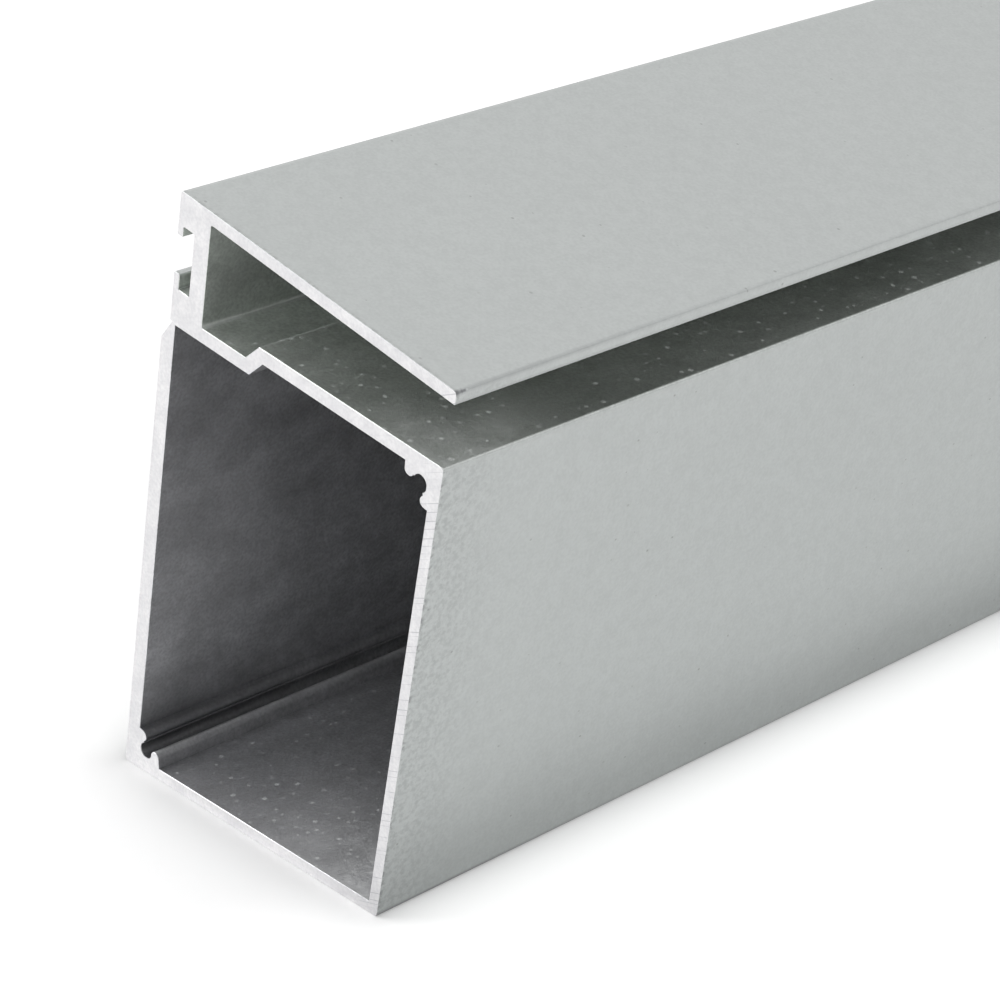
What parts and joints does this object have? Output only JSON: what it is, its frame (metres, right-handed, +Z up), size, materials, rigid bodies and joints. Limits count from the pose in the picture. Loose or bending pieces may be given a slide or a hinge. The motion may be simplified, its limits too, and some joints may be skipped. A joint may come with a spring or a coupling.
{
  "type": "aluminium extrusion profile",
  "caption": "Hollow box extrusion with a sloped base, a cover flange over an open channel, a lipped slot behind the web and screw ports in the box.",
  "frame": {"origin": "bottom centre of the bar's own box, on the plane of its base face", "axes": "+Y along the bar, +Z up, +X towards the face that the flange reaches over"},
  "size_m": [0.0794, 1, 0.1002],
  "materials": {
    "anodised_aluminium": "fine matt natural anodised drawn faces, bright sawn ends"
  },
  "bodies": {
    "root": {"extrusion_profile": "anodised_aluminium"}
  },
  "joints": []
}
